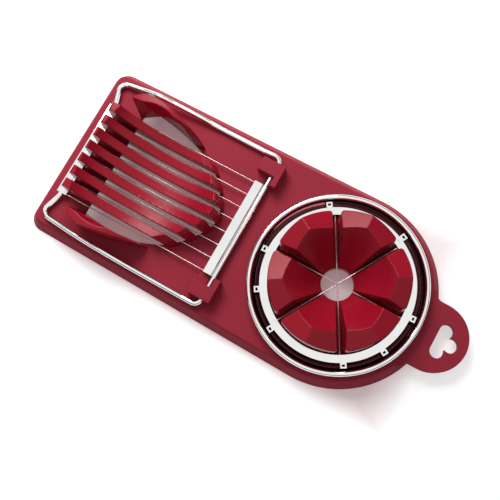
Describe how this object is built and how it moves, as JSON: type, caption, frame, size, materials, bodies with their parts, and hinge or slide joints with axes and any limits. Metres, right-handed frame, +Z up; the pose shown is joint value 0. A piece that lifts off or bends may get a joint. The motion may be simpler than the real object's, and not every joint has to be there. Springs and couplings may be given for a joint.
{
  "type": "egg slicer",
  "caption": "Manual egg slicer: a flat tray with a ribbed egg cradle under a hinged wire frame, and a round post of wedges under a lift-off ring with crossing wires.",
  "frame": {"origin": "centre of the bounding box at its base, where the tray rests on the table", "axes": "+X along the tray from the egg cradle to the hanging tab, +Y across the tray, +Z up"},
  "size_m": [0.208, 0.0924, 0.0287],
  "materials": {
    "tray": "fine matte texture",
    "cradle": "semi-gloss",
    "polished_wire": "polished",
    "polished_sheet": "polished",
    "cutting_wire": "drawn wire"
  },
  "bodies": {
    "tray_body": {"tray": "tray", "egg_cradle": "cradle", "wedge_post": "cradle", "hinge_lug_near": "tray", "hinge_lug_far": "tray"},
    "slicer_frame": {"frame_wire": "polished_wire", "hinge_rod": "polished_wire", "wire_holder_front": "polished_sheet", "wire_holder_hinge": "polished_sheet", "slicing_wire_1": "cutting_wire", "slicing_wire_2": "cutting_wire", "slicing_wire_3": "cutting_wire", "slicing_wire_4": "cutting_wire", "slicing_wire_5": "cutting_wire", "slicing_wire_6": "cutting_wire", "slicing_wire_7": "cutting_wire", "slicing_wire_8": "cutting_wire"},
    "cutting_ring": {"ring_channel": "polished_sheet", "ring_rolled_edge": "polished_wire", "ring_wire_hooks": "polished_sheet", "wedge_wire_1": "cutting_wire", "wedge_wire_2": "cutting_wire", "wedge_wire_3": "cutting_wire"}
  },
  "joints": [
    {"name": "frame_hinge", "type": "hinge", "parent": "tray_body", "child": "slicer_frame", "pos_m": [-0.0105, 0, 0.0092], "axis": [0, 1, 0], "range_deg": [0, 100]},
    {"name": "ring_lift", "type": "slide", "parent": "tray_body", "child": "cutting_ring", "axis": [0, 0, 1], "range_m": [0, 0.03]}
  ]
}
